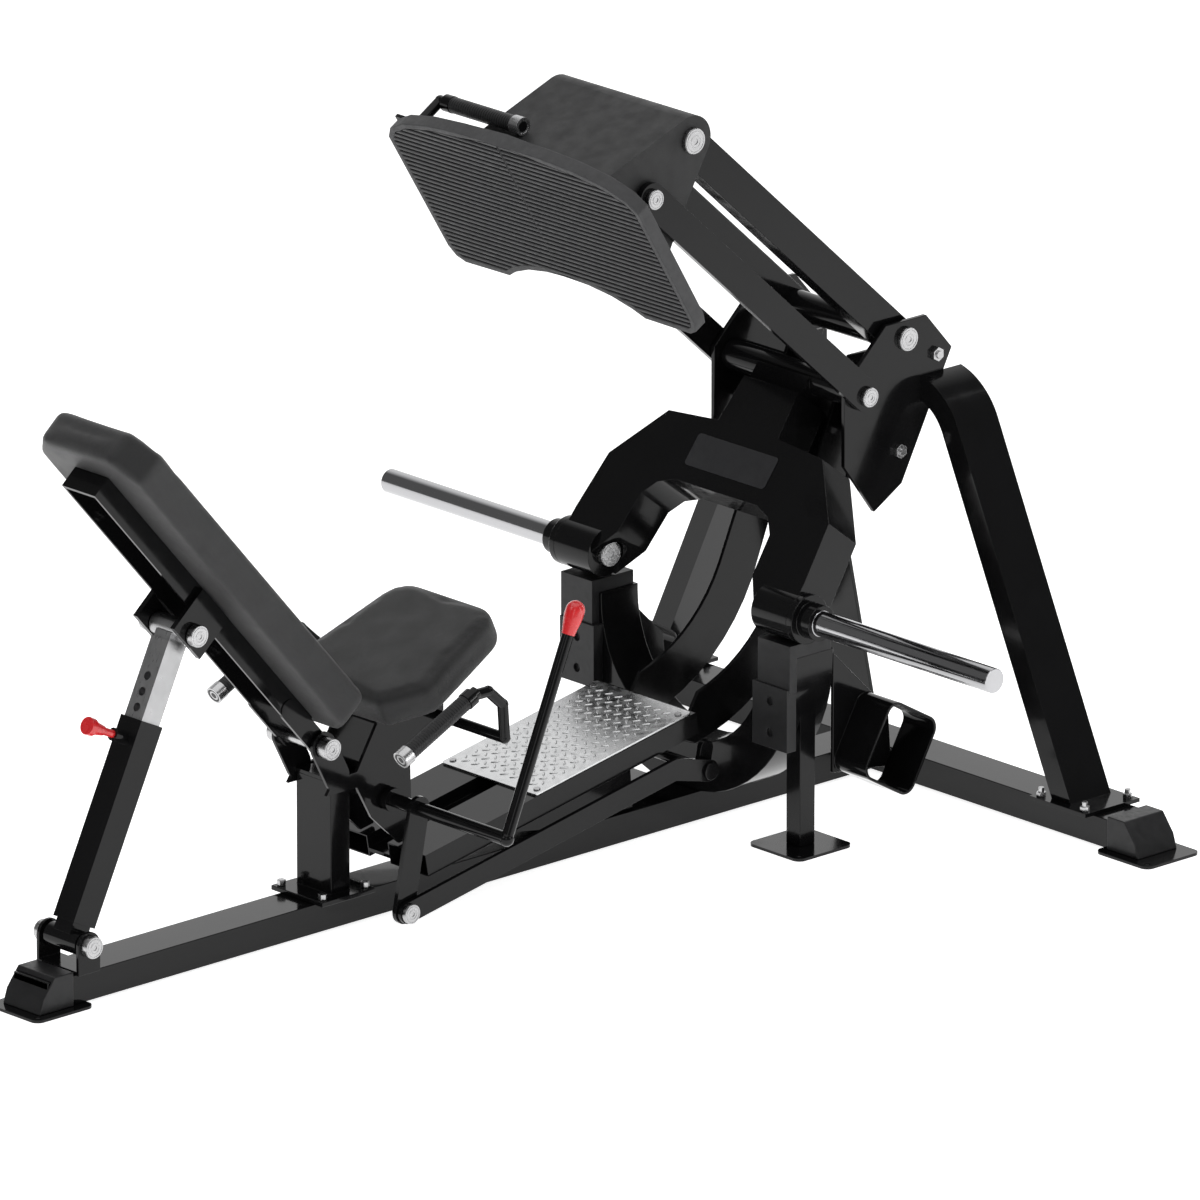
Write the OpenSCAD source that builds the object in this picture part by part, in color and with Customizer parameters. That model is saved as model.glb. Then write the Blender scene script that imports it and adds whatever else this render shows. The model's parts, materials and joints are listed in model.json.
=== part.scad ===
/* [Overall] */
// Length over the front and rear foot plates
overall_length = 2360; // [2360:1:2360]
// Width over the rear foot plates
overall_width = 1730; // [1700:5:1740]

/* [Base] */
// Width of the rail and the rear beam
beam_w = 100; // [90:1:104]
// Height of the rail and the rear beam
beam_h = 60; // [56:1:60]
// Wall of the square tubes
tube_wall = 3; // [2.5:0.5:4]
// Side of a square foot plate
foot_side = 150; // [140:1:150]
// Thickness of the foot plates
foot_t = 6; // [6:1:6]
// Radius of an anchor hole in a foot plate
anchor_r = 6; // [4:0.5:6.5]

/* [Press lever] */
// Height of the upper tower pivot
upper_pivot_z = 948; // [948:1:948]
// Outside width of the press head between its cheeks
head_w = 386; // [386:1:386]
// Radius of the pivot pins
pin_r = 12; // [10:0.5:12]
// Running clearance of a pin in its bore
run_gap = 0.05; // [0.03:0.01:0.09]
// Depth of a press arm's section
arm_depth = 74; // [66:1:76]

/* [Foot plate] */
// Width of the pressing plate at its top corners
plate_w = 720; // [700:5:730]
// Thickness of the rubber-faced pressing plate
plate_t = 30; // [26:1:32]

/* [Weight horns] */
// Radius of a weight horn
horn_r = 25; // [24:0.5:25]
// Length of a weight horn outside its collar
horn_len = 490; // [300:5:490]

/* [Seat] */
// Width of the back pad
back_w = 300; // [280:5:310]
// Thickness of the back pad
back_t = 80; // [70:1:84]
// Width of the seat pad
seat_w = 370; // [340:5:380]
// Thickness of the seat pad
seat_t = 70; // [60:1:72]

/* [Hidden] */
$fn = 48;
EPS = 0.01;
rear_y = overall_length / 2 - foot_side / 2;    // centre line of the rear beam
front_y = -overall_length + foot_side;          // centre of the front foot, seen from the rear beam

// Everything below is laid out from the centre of the rear beam on the floor.
module put() translate([0, rear_y, 0]) children();

// A length of rectangular tube along +Z, centred in X and Y.
module tube(w, d, len, wall = tube_wall) difference() {
    translate([-w / 2, -d / 2, 0]) cube([w, d, len]);
    translate([-w / 2 + wall, -d / 2 + wall, -1]) cube([w - 2 * wall, d - 2 * wall, len + 2]);
}

// A side profile in the YZ plane, given a thickness from x0 to x1.
module side(x0, x1) translate([x0, 0, 0]) rotate([90, 0, 90]) linear_extrude(x1 - x0) children();

// A shape in the XZ plane, given a depth from y0 to y1.
module front(y0, y1) translate([0, y1, 0]) rotate([90, 0, 0]) linear_extrude(y1 - y0) children();

// A round bar along X.
module bar_x(x0, x1, y, z, r) translate([x0, y, z]) rotate([0, 90, 0]) cylinder(r = r, h = x1 - x0);

// A flat bar with round ends, drawn in the plane.
module link2d(a, b, w) {
    turn = atan2(b[1] - a[1], b[0] - a[0]);
    polygon(concat(
        [for (i = [0 : 16]) a + w / 2 * [cos(turn + 90 + i * 11.25), sin(turn + 90 + i * 11.25)]],
        [for (i = [0 : 16]) b + w / 2 * [cos(turn - 90 + i * 11.25), sin(turn - 90 + i * 11.25)]]));
}

// A polygon from its +X half, listed from bottom to top.
module both_sides(half) polygon(concat(half,
    [for (i = [len(half) - 1 : -1 : 0]) [-half[i][0], half[i][1]]]));

// A rounded rectangle.
module round_rect(w, h, r) {
    for (x = [-w / 2 + r, w / 2 - r]) for (y = [-h / 2 + r, h / 2 - r]) translate([x, y]) circle(r = r);
    square([w - 2 * r, h], center = true);
    square([w, h - 2 * r], center = true);
}

module mirrored() { children(); mirror([1, 0, 0]) children(); }

// Side-view places, measured from the rear beam on the floor: [y, z]
arm_v = [-579, 526];                            // from a tower pivot to the same arm's head pivot
upper_pivot = [-96, upper_pivot_z];
lower_pivot = [-216, upper_pivot_z - 91];
head_upper = upper_pivot + arm_v;
head_lower = lower_pivot + arm_v;
horn_at = [-505, 492];                          // axis of the weight horns
back_hinge = [-1526, 388];
strut_top = [-1862, 692];
strut_base = [-2138, 122];
lever_at = [-1362, 247];                        // pivot of the release lever
link_at = [-1402, 45];                          // pin that the release lever moves
arm_angle = atan2(arm_v[1], arm_v[0]);
strut_v = strut_top - strut_base;
strut_angle = atan2(strut_v[1], strut_v[0]);
head_x = head_w / 2;                            // outer face of a head cheek or tower plate
cheek_t = 8;
lower_arm_x = head_x + 3;                       // inner face of a lower arm
lower_arm_t = 14;
upper_arm_x = 128;                              // inner face of an upper arm
upper_arm_t = 46;
floor_t = foot_t;

// ---------- base ----------
module main_rail() put() color([0.06, 0.06, 0.06]) {
    rail_start = -2235;
    translate([0, rail_start, floor_t + beam_h / 2]) rotate([-90, 0, 0])
        tube(beam_w, beam_h, -rail_start - beam_w / 2);
}

module rear_beam() put() color([0.06, 0.06, 0.06]) {
    half = 770;
    translate([-half, 0, floor_t + beam_h / 2]) rotate([0, 90, 0]) tube(beam_h, beam_w, 2 * half);
}

module foot(x, y) translate([x, y, 0]) linear_extrude(foot_t) difference() {
    round_rect(foot_side, foot_side, 18);
    for (s = [-1, 1]) translate([s * 58, -s * 58]) circle(r = anchor_r);
}

module front_foot() put() color([0.05, 0.05, 0.05]) foot(0, front_y);
module rear_feet() put() color([0.05, 0.05, 0.05])
    for (s = [-1, 1]) foot(s * (overall_width / 2 - foot_side / 2), 0);
module post_feet() put() color([0.05, 0.05, 0.05]) for (s = [-1, 1]) foot(s * 290, -470);

// A wedge-shaped rubber end boot, its open side along +Y.
module boot() {
    side(-beam_w / 2 - 4, beam_w / 2 + 4)
        polygon([[0, 0], [0, beam_h + 9], [-48, beam_h + 9], [-78, beam_h * 0.5], [-88, 0]]);
}

module front_boot() put() color([0.08, 0.08, 0.08]) difference() {
    translate([0, -2172, floor_t]) boot();
    translate([-beam_w / 2, -2236, floor_t]) cube([beam_w, 80, beam_h]);
}

module rear_boots() put() color([0.08, 0.08, 0.08]) mirrored() difference() {
    translate([730, 0, floor_t]) rotate([0, 0, 90]) boot();
    translate([710, -beam_w / 2, floor_t]) cube([61, beam_w, beam_h]);
}

// ---------- tower, spine and rear legs ----------
module tower_profile() difference() {
    polygon([[-150, 985], [-40, 985], [30, 905], [-105, 650], [-180, 606], [-262, 716], [-262, 880]]);
    translate(upper_pivot) circle(r = pin_r);
    translate(lower_pivot) circle(r = pin_r + run_gap);
    for (p = [[-15, 900], [-115, 720]]) translate(p) circle(r = 8);
}

module tower_plate_right() put() color([0.06, 0.06, 0.06]) side(head_x - 10, head_x) tower_profile();
module tower_plate_left() put() color([0.06, 0.06, 0.06]) side(-head_x, -head_x + 10) tower_profile();

// The spine is a channel that climbs from the platform to the tower in one bend.
module spine_profile() {
    polygon(concat([[-60, 900], [-150, 900]],
        [for (i = [0 : 9]) let (a = -25 - i * 5.6)
            [-640 + 330 * cos(a), 610 + 330 * sin(a)]],
        [[-610, 205]],
        [for (i = [0 : 9]) let (a = -80 + i * 6)
            [-640 + 430 * cos(a), 610 + 430 * sin(a)]]));
}

module spine() put() color([0.07, 0.07, 0.07]) {
    side(-88, -80) spine_profile();
    side(80, 88) spine_profile();
    translate([-80 - EPS, -145, 640]) cube([160 + 2 * EPS, 8, 250]);
    for (x = [-head_x + 10, 88 - EPS]) translate([x, -150, 740]) cube([head_x - 98 + EPS, 12, 120]);
    translate([-50, -30, floor_t + beam_h]) rotate([12, 0, 0]) cube([100, 8, 600]);
}

module tower_bolts() put() color([0.75, 0.75, 0.77])
    for (s = [-1, 1]) for (p = [[-15, 900], [-115, 720]]) translate([0, p[0], p[1]]) {
        x0 = s > 0 ? head_x - 24 : -head_x - 14;
        bar_x(x0, x0 + 38, 0, 0, 7.9);
        translate([s > 0 ? head_x : -head_x - 10, 0, 0]) rotate([0, 90, 0]) cylinder(r = 15, h = 10, $fn = 6);
    }

// The bent rear leg in the XZ plane: up and inwards, then over to the tower plate.
leg_bend = [160, 712];                          // centre of the bend
leg_r = 155;                                    // outer radius of the bend
leg_w = 50;
leg_lean = 25;
module leg_profile() {
    up = [cos(leg_lean), sin(leg_lean)];
    foot_z = floor_t + beam_h + 8;
    outer = leg_bend + leg_r * up;
    inner = leg_bend + (leg_r - leg_w) * up;
    polygon([outer, inner,
        [inner[0] + (inner[1] - foot_z) * tan(leg_lean), foot_z],
        [outer[0] + (outer[1] - foot_z) * tan(leg_lean), foot_z]]);
    intersection() {
        translate(leg_bend) difference() {
            circle(r = leg_r, $fn = 96);
            circle(r = leg_r - leg_w, $fn = 96);
        }
        polygon([leg_bend, leg_bend + 300 * up, [460, 900], [head_x, 900], [head_x, 700]]);
    }
}

module rear_leg() {
    front(-55, 55) leg_profile();
    translate([530, -75, floor_t + beam_h]) difference() {
        cube([160, 150, 8 + EPS]);
        for (x = [18, 142]) for (y = [16, 134]) translate([x, y, -1]) cylinder(r = 6, h = 12);
    }
}
module rear_leg_right() put() color([0.08, 0.08, 0.08]) rear_leg();
module rear_leg_left() mirror([1, 0, 0]) rear_leg_right();

module leg_bolts() put() color([0.75, 0.75, 0.77])
    for (s = [-1, 1]) for (x = [548, 672]) for (y = [-59, 59]) translate([s * x, y, 0]) {
        translate([0, 0, floor_t + beam_h + 8]) cylinder(r = 10, h = 9, $fn = 6);
        translate([0, 0, floor_t + beam_h + 0.3]) cylinder(r = 5.9, h = 26);
    }

// ---------- stop frame ----------
stop_y0 = -520;
stop_y1 = -420;
module stop_frame() put() color([0.06, 0.06, 0.06]) {
    front(stop_y0, stop_y1) both_sides(concat([[50, beam_h + foot_t]],
        [for (i = [1 : 12]) let (a = -79 + i * 6) [330 * cos(a), 390 + 330 * sin(a)]],
        [[330, 410], [235, 410]],
        [for (i = [0 : 14]) let (a = -i * 6.4) [235 * cos(a), 396 + 235 * sin(a)]]));
    for (s = [-1, 1]) translate([s * 290, -470, foot_t]) difference() {
        translate([-20, -20, 0]) cube([40, 40, 290]);
        translate([-17, -17, -1]) cube([34, 34, 150]);
    }
}

// Rubber block over the post's top and front, with a cap that the weight lever lands on.
module bumper() difference() {
    union() {
        translate([230, -545, 218]) cube([100, 60, 130]);
        translate([240, -540, 340]) cube([92, 112, 98.5]);
    }
    translate([200, stop_y0, 100]) cube([160, stop_y1 - stop_y0, 310]);
    for (z = [250, 315]) translate([280, -560, z]) rotate([-90, 0, 0]) cylinder(r = 9, h = 22);
}
module bumper_right() put() color([0.1, 0.1, 0.1]) bumper();
module bumper_left() mirror([1, 0, 0]) bumper_right();

// Bent strap and web behind each post.
module post_gusset() {
    side(330, 420) difference() {
        translate([-320, 200]) rotate(-30) round_rect(150, 165, 28);
        translate([-320, 200]) rotate(-30) round_rect(138, 153, 22);
    }
    side(322, 330 + EPS) polygon([[stop_y1, 400], [stop_y1, 150], [-260, 130], [-270, 250]]);
}
module post_gusset_right() put() color([0.07, 0.07, 0.07]) post_gusset();
module post_gusset_left() mirror([1, 0, 0]) post_gusset_right();

// ---------- platform ----------
plat_front = [-1330, 118];
plat_back = [-610, 250];
plat_v = plat_back - plat_front;
plat_angle = atan2(plat_v[1], plat_v[0]);
module platform_beams() put() color([0.08, 0.08, 0.08]) {
    for (x = [-85, 85]) translate([x, plat_front[0], plat_front[1]]) rotate([plat_angle, 0, 0])
        rotate([-90, 0, 0]) tube(110, 46, norm(plat_v));
    translate([-30 - EPS, plat_front[0], plat_front[1]]) rotate([plat_angle, 0, 0])
        translate([0, 0, -12]) cube([60 + 2 * EPS, norm(plat_v), 8]);
    side(-40, 40) polygon([[-1200, 120], [-700, 205], [-690, 66], [-860, 66]]);
}

module tread_plate() put() color([0.82, 0.83, 0.84])
    translate([0, plat_front[0], plat_front[1]]) rotate([plat_angle, 0, 0]) translate([0, 300, 23.3])
        linear_extrude(4) difference() {
            translate([0, 212]) round_rect(276, 424, 8);
            for (x = [-122, 122]) for (y = [18, 402]) translate([x, y]) circle(r = 4);
        }

module tread_screws() put() color([0.7, 0.7, 0.72])
    translate([0, plat_front[0], plat_front[1]]) rotate([plat_angle, 0, 0])
        for (x = [-122, 122]) for (y = [318, 702]) translate([x, y, 27.4]) cylinder(r = 7, h = 2.5);

// ---------- seat ----------
seat_tilt = 24;
module seat_post() put() color([0.06, 0.06, 0.06]) {
    translate([0, -1476, floor_t + beam_h + 10 - EPS]) tube(100, 50, 230);
    translate([-75, -1546, floor_t + beam_h]) cube([150, 140, 10]);
}

module seat_post_bolts() put() color([0.75, 0.75, 0.77])
    for (x = [-60, 60]) for (y = [-1532, -1420]) translate([x, y, floor_t + beam_h + 10.2])
        cylinder(r = 9, h = 12, $fn = 6);

// Side plates that carry the back hinge, the seat and the release lever.
module seat_frame() put() color([0.07, 0.07, 0.07]) {
    for (x = [-60, 52]) side(x, x + 8) difference() {
        union() {
            polygon([[-1500, 314], [-1440, 318], [-1380, 416], [-1238, 479], [-1212, 470], [-1212, 375],
                [-1300, 300], [-1296, 152], [-1330, 146], [-1402, 215], [-1440, 285], [-1520, 285]]);
            link2d([-1490, 318], back_hinge, 60);
        }
        translate(back_hinge) circle(r = pin_r);
        translate(lever_at) circle(r = 14 + run_gap);
    }
    translate([-52 - EPS, -1502, 306]) cube([104 + 2 * EPS, 52, 8]);
    translate([-52 - EPS, -1336, 225]) cube([104 + 2 * EPS, 8, 60]);
    translate([-70, -1395, 405.9]) rotate([seat_tilt, 0, 0]) cube([140, 180, 8]);
}

module seat_outline() {
    hull() {
        translate([-105, 30]) circle(r = 24, $fn = 32);
        translate([105, 30]) circle(r = 24, $fn = 32);
        translate([-seat_w / 2 + 34, 92]) circle(r = 30, $fn = 32);
        translate([seat_w / 2 - 34, 92]) circle(r = 30, $fn = 32);
        translate([-90, 268]) circle(r = 64, $fn = 32);
        translate([90, 268]) circle(r = 64, $fn = 32);
    }
}
module seat_pad() put() color([0.09, 0.09, 0.09])
    translate([0, -1414, 406.5]) rotate([seat_tilt, 0, 0]) linear_extrude(seat_t) seat_outline();

grab_x = 272;
grab_path = [[-1245, 395], [-1250, 465], [-1288, 500], [-1330, 500]];
module seat_grab() {
    bar_x(60.2, grab_x, grab_path[0][0], grab_path[0][1], 11);
    for (i = [0 : 2]) {
        d = grab_path[i + 1] - grab_path[i];
        translate([grab_x, grab_path[i][0], grab_path[i][1]]) {
            sphere(r = 11.6);
            rotate([atan2(d[1], d[0]) - 90, 0, 0]) cylinder(r = 11, h = norm(d));
        }
    }
    translate([grab_x, grab_path[3][0], grab_path[3][1]]) rotate([atan2(-85, -178) - 90, 0, 0]) {
        translate([0, 0, -12]) cylinder(r = 13, h = 24);
        cylinder(r = 16, h = 200);
        cylinder(r = 18, h = 20);
        translate([0, 0, 185]) cylinder(r = 18, h = 22);
    }
}
module seat_grab_right() put() color([0.1, 0.1, 0.1]) seat_grab();
module seat_grab_left() mirror([1, 0, 0]) seat_grab_right();

// ---------- back rest and its strut ----------
back_v = [-0.656, 0.755];                       // up the back board
back_angle = atan2(back_v[1], back_v[0]);
module on_back() translate([0, back_hinge[0], back_hinge[1]]) rotate([back_angle, 0, 0]) children();

// on_back: +Y runs up the board and -Z points at the user.
module back_frame() put() color([0.07, 0.07, 0.07]) {
    difference() {
        union() {
            on_back() translate([-48, 60, -26]) cube([96, 796, 46]);
            for (x = [-50, 42]) side(x, x + 8) link2d(back_hinge, back_hinge + 120 * back_v, 44);
        }
        on_back() translate([-42, -60, -20]) cube([84, 908, 60]);
        bar_x(-80, 80, back_hinge[0], back_hinge[1], pin_r + run_gap);
    }
    for (x = [-60, 48 - EPS]) difference() {
        on_back() translate([x, 400, -22]) cube([12, 100, 100]);
        bar_x(-120, 120, strut_top[0], strut_top[1], 14);
    }
}

module back_hinge_pin() put() color([0.75, 0.75, 0.77]) {
    bar_x(-78, 78, back_hinge[0], back_hinge[1], pin_r - EPS);
    for (x = [-84, 62]) bar_x(x, x + 22, back_hinge[0], back_hinge[1], 22);
}

module back_pad() put() color([0.09, 0.09, 0.09])
    on_back() translate([0, 0, -26.3 - back_t]) linear_extrude(back_t) hull() {
        for (s = [-1, 1]) {
            translate([s * (back_w / 2 - 28), 82]) circle(r = 28, $fn = 32);
            translate([s * (back_w / 2 - 22), 860]) circle(r = 22, $fn = 32);
            translate([s * (back_w / 2 - 60), 902]) circle(r = 26, $fn = 32);
            translate([s * (back_w / 2 - 60), 56]) circle(r = 30, $fn = 32);
        }
    }

module back_bolts() put() color([0.75, 0.75, 0.77])
    on_back() for (y = [250, 700]) translate([0, y, -19.9]) {
        cylinder(r = 12, h = 8, $fn = 6);
        cylinder(r = 6, h = 18);
    }

module strut_top_pin() put() color([0.75, 0.75, 0.77]) {
    bar_x(-70, 70, strut_top[0], strut_top[1], 13.99);
    for (x = [-76, 62.2]) bar_x(x, x + 14, strut_top[0], strut_top[1], 22);
}

// Along the strut: the frame's +Y runs from the base pin to the top pin.
module on_strut() translate([0, strut_base[0], strut_base[1]]) rotate([strut_angle, 0, 0]) children();
strut_len = norm(strut_v);
pull_at = 402;                                  // place of the pull pin along the strut

module strut_tube() put() color([0.07, 0.07, 0.07]) difference() {
    union() {
        on_strut() translate([-30, 34, -30]) cube([60, 410, 60]);
        bar_x(-46, 46, strut_base[0], strut_base[1], 24);
        on_strut() translate([-24, 10, -24]) cube([48, 40, 48]);
        on_strut() translate([0, pull_at, 30 - EPS]) cylinder(r = 13, h = 34);
    }
    on_strut() translate([-25.5, 60, -25.5]) cube([51, 400, 51]);
    bar_x(-80, 80, strut_base[0], strut_base[1], 12 + run_gap);
    on_strut() translate([0, pull_at, 20]) cylinder(r = 8 + run_gap, h = 60);
}

module strut_slider() put() color([0.7, 0.7, 0.71]) difference() {
    union() {
        on_strut() translate([-25, 190, -25]) cube([50, strut_len - 190 - 26, 50]);
        bar_x(-46, 46, strut_top[0], strut_top[1], 22);
        on_strut() translate([-22, strut_len - 40, -22]) cube([44, 30, 44]);
    }
    bar_x(-80, 80, strut_top[0], strut_top[1], 14 + 4);
    for (i = [-3 : 4]) on_strut() translate([0, pull_at + 32 * i, 6]) cylinder(r = 8.8, h = 30);
}

module pull_pin() put() color([0.85, 0.1, 0.12]) on_strut() translate([0, pull_at, 0]) {
    translate([0, 0, 25.6]) cylinder(r = 8, h = 66);
    translate([0, 0, 91.6 - EPS]) cylinder(r1 = 10, r2 = 15, h = 30);
    translate([0, 0, 121.6 - 2 * EPS]) cylinder(r = 18, h = 15);
}

module strut_bracket() put() color([0.07, 0.07, 0.07]) {
    for (x = [-62, 54]) side(x, x + 8) difference() {
        union() {
            link2d([strut_base[0], 100], strut_base, 56);
            translate([strut_base[0] - 28, 74]) square([56, 26]);
        }
        translate(strut_base) circle(r = 12);
    }
    translate([-62, strut_base[0] - 28, floor_t + beam_h]) cube([124, 56, 8]);
}

module strut_base_pin() put() color([0.75, 0.75, 0.77]) {
    bar_x(-72, 72, strut_base[0], strut_base[1], 12 - EPS);
    for (x = [-76, 62.2]) bar_x(x, x + 14, strut_base[0], strut_base[1], 22);
}

// ---------- press lever ----------
module upper_arm() difference() {
    side(upper_arm_x, upper_arm_x + upper_arm_t) link2d(upper_pivot, head_upper, arm_depth);
    translate([upper_arm_x + 6, upper_pivot[0], upper_pivot[1]]) rotate([arm_angle, 0, 0])
        translate([0, 50, -arm_depth / 2 + 7]) cube([upper_arm_t - 12, norm(arm_v) - 100, arm_depth - 14]);
    bar_x(0, 300, upper_pivot[0], upper_pivot[1], pin_r + run_gap);
    bar_x(0, 300, head_upper[0], head_upper[1], pin_r + 3);
}
module upper_arm_right() put() color([0.06, 0.06, 0.06]) upper_arm();
module upper_arm_left() mirror([1, 0, 0]) upper_arm_right();

module upper_arm_shaft() put() color([0.06, 0.06, 0.06])
    for (p = [upper_pivot, head_upper]) difference() {
        bar_x(-upper_arm_x, upper_arm_x, p[0], p[1], 30);
        bar_x(-upper_arm_x - 1, upper_arm_x + 1, p[0], p[1], pin_r + 3);
    }

module upper_pivot_pin() put() color([0.78, 0.78, 0.8]) {
    bar_x(-head_x - 1, head_x + 1, upper_pivot[0], upper_pivot[1], pin_r - EPS);
    for (s = [-1, 1]) bar_x(s > 0 ? head_x : -head_x - 9, s > 0 ? head_x + 9 : -head_x,
        upper_pivot[0], upper_pivot[1], 24);
}

module lower_arm() difference() {
    side(lower_arm_x, lower_arm_x + lower_arm_t) link2d(lower_pivot, head_lower, arm_depth - 10);
    bar_x(0, 300, lower_pivot[0], lower_pivot[1], pin_r + run_gap);
    bar_x(0, 300, head_lower[0], head_lower[1], pin_r + run_gap);
}
module lower_arm_right() put() color([0.06, 0.06, 0.06]) lower_arm();
module lower_arm_left() mirror([1, 0, 0]) lower_arm_right();

module pin_with_caps(p) {
    edge = lower_arm_x + lower_arm_t;
    bar_x(-edge - 1, edge + 1, p[0], p[1], pin_r - EPS);
    for (s = [-1, 1]) bar_x(s > 0 ? edge + 0.3 : -edge - 9.3, s > 0 ? edge + 9.3 : -edge - 0.3, p[0], p[1], 20);
}
module lower_pivot_pin() put() color([0.78, 0.78, 0.8]) pin_with_caps(lower_pivot);
module head_lower_pin() put() color([0.78, 0.78, 0.8]) pin_with_caps(head_lower);
module head_upper_pin() put() color([0.78, 0.78, 0.8]) {
    bar_x(-head_x - 1, head_x + 1, head_upper[0], head_upper[1], pin_r - EPS);
    for (s = [-1, 1]) bar_x(s > 0 ? head_x : -head_x - 9, s > 0 ? head_x + 9 : -head_x,
        head_upper[0], head_upper[1], 26);
}

// ---------- weight arch ----------
// on_arch: +Y climbs the arch from the horn axis, +Z is its front.
arch_angle = 52.3;
module on_arch() translate([0, horn_at[0], horn_at[1]]) rotate([arch_angle, 0, 0]) children();

arch_half = [[118, 176], [160, 160], [186, 128], [194, 40], [240, -24], [335, -24], [332, 60],
    [318, 186], [222, 306], [86, 318], [78, 420]];
arch_pocket = [[122, 184], [167, 166], [194, 130], [204, 58], [326, 58], [310, 182], [218, 298],
    [80, 310]];

module weight_arch() put() color([0.06, 0.06, 0.06]) difference() {
    union() {
        on_arch() translate([0, 0, -55]) difference() {
            linear_extrude(95) both_sides(arch_half);
            translate([0, 0, -1]) linear_extrude(88) both_sides(arch_pocket);
        }
        mirrored() bar_x(236, 336, horn_at[0], horn_at[1], 50);
        bar_x(-head_x + 13, head_x - 13, lower_pivot[0], lower_pivot[1], 30);
        on_arch() translate([-74, 400, -28]) cube([148, 60, 56]);
    }
    bar_x(-400, 400, lower_pivot[0], lower_pivot[1], pin_r + run_gap);
    bar_x(-400, 400, horn_at[0], horn_at[1], 20);
    mirrored() bar_x(180, 236, horn_at[0], horn_at[1], 28);
}

module placard() put() color([0.15, 0.15, 0.16])
    on_arch() translate([0, 246, 40.2]) linear_extrude(1.2) round_rect(230, 70, 8);

module weight_horn() {
    bar_x(237, 386, horn_at[0], horn_at[1], 19.9);
    bar_x(336.2, 352, horn_at[0], horn_at[1], 50);
    bar_x(352 - EPS, 386, horn_at[0], horn_at[1], 36);
    bar_x(386 - EPS, 386 + horn_len, horn_at[0], horn_at[1], horn_r);
}
module weight_horn_right() put() color([0.78, 0.78, 0.8]) weight_horn();
module weight_horn_left() mirror([1, 0, 0]) weight_horn_right();

module horn_caps() put() color([0.8, 0.8, 0.82]) mirrored()
    bar_x(222, 235.8, horn_at[0], horn_at[1], 26);

// ---------- press head ----------
// on_plate: +Y runs down the board, -Z faces the user.
plate_top = [-942, 1428];
plate_angle = -58.9;
module on_plate() translate([0, plate_top[0], plate_top[1]]) rotate([plate_angle, 0, 0]) children();

module cheek_profile() {
    translate(head_upper) circle(r = 50);
    polygon([[-690, 1522], plate_top, [-823, 1231], [-735, 1258], [-697, 1335], [-628, 1457], head_upper]);
}

module head_box() put() color([0.09, 0.09, 0.09]) difference() {
    union() {
        side(head_x - cheek_t, head_x) cheek_profile();
        side(-head_x, -head_x + cheek_t) cheek_profile();
        side(-head_x + cheek_t - EPS, head_x - cheek_t + EPS) {
            difference() {
                polygon([[-690, 1522], plate_top, plate_top + [6, -4], [-689, 1517]]);
                translate(head_upper) circle(r = 46);
            }
            intersection() {
                difference() {
                    translate(head_upper) circle(r = 50);
                    translate(head_upper) circle(r = 46);
                }
                translate(head_upper) polygon([[0, 0], [60, 36], [60, 80], [-40, 80], [-24, 60]]);
            }
        }
        on_plate() translate([-head_x, 4, 0]) cube([head_w, 226, 8]);
    }
    bar_x(-300, 300, head_upper[0], head_upper[1], pin_r);
    bar_x(-300, 300, head_lower[0], head_lower[1], pin_r);
}

module foot_half2d() polygon([[-EPS, -92], [120, -90], [210, -82], [290, -64], [340, -38],
    [plate_w / 2, -10], [plate_w / 2 - 4, 286], [plate_w / 2 - 14, 312], [plate_w / 2 - 36, 324],
    [196, 322], [168, 304], [120, 284], [60, 272], [-EPS, 268]]);
module foot_plate() put() color([0.2, 0.2, 0.2])
    on_plate() translate([0, 0, -plate_t]) linear_extrude(plate_t - 0.2) mirrored() foot_half2d();

module head_grab() put() color([0.1, 0.1, 0.1]) {
    grab = [-862, 1478];
    bar_x(-330, -90, grab[0], grab[1], 11);
    bar_x(-312, -93, grab[0], grab[1], 16);
    for (x = [-313, -113]) bar_x(x, x + 22, grab[0], grab[1], 17.5);
    translate([-330, grab[0], grab[1]]) sphere(r = 11.6);
    foot = plate_top + [12, 8];
    d = foot - grab;
    translate([-330, grab[0], grab[1]]) rotate([atan2(d[1], d[0]) - 90, 0, 0]) 
        cylinder(r = 11, h = norm(d) + 8);
    on_plate() translate([-352, -40, 0]) cube([44, 60, 8]);
}

// ---------- safety release ----------
lever_x = 405;
knob_at = [-1200, 628];
module release_lever() put() color([0.1, 0.1, 0.1]) {
    bar_x(-66, lever_x, lever_at[0], lever_at[1], 13.95);
    for (x = [-82, 66]) bar_x(x, x + 16, lever_at[0], lever_at[1], 24);
    translate([lever_x, lever_at[0], lever_at[1]]) sphere(r = 14.8);
    d = knob_at - lever_at;
    translate([lever_x, lever_at[0], lever_at[1]]) rotate([atan2(d[1], d[0]) - 90, 0, 0]) cylinder(r = 12, h = norm(d));
    side(146, 156) difference() {
        link2d(lever_at, link_at, 50);
        translate(link_at) circle(r = 10);
    }
}

module release_knob() put() color([0.85, 0.1, 0.12]) {
    d = knob_at - lever_at;
    translate([lever_x, knob_at[0], knob_at[1]]) rotate([atan2(d[1], d[0]) - 90, 0, 0]) {
        translate([0, 0, 0.3]) cylinder(r1 = 13, r2 = 19, h = 36);
        translate([0, 0, 36.3 - EPS]) cylinder(r = 19, h = 14);
        translate([0, 0, 50]) sphere(r = 18.9);
    }
}

module link_pin() put() color([0.78, 0.78, 0.8]) {
    bar_x(144, 171, link_at[0], link_at[1], 9.99);
    bar_x(169.2, 177, link_at[0], link_at[1], 20);
    bar_x(136, 145.8, link_at[0], link_at[1], 17);
}

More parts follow.
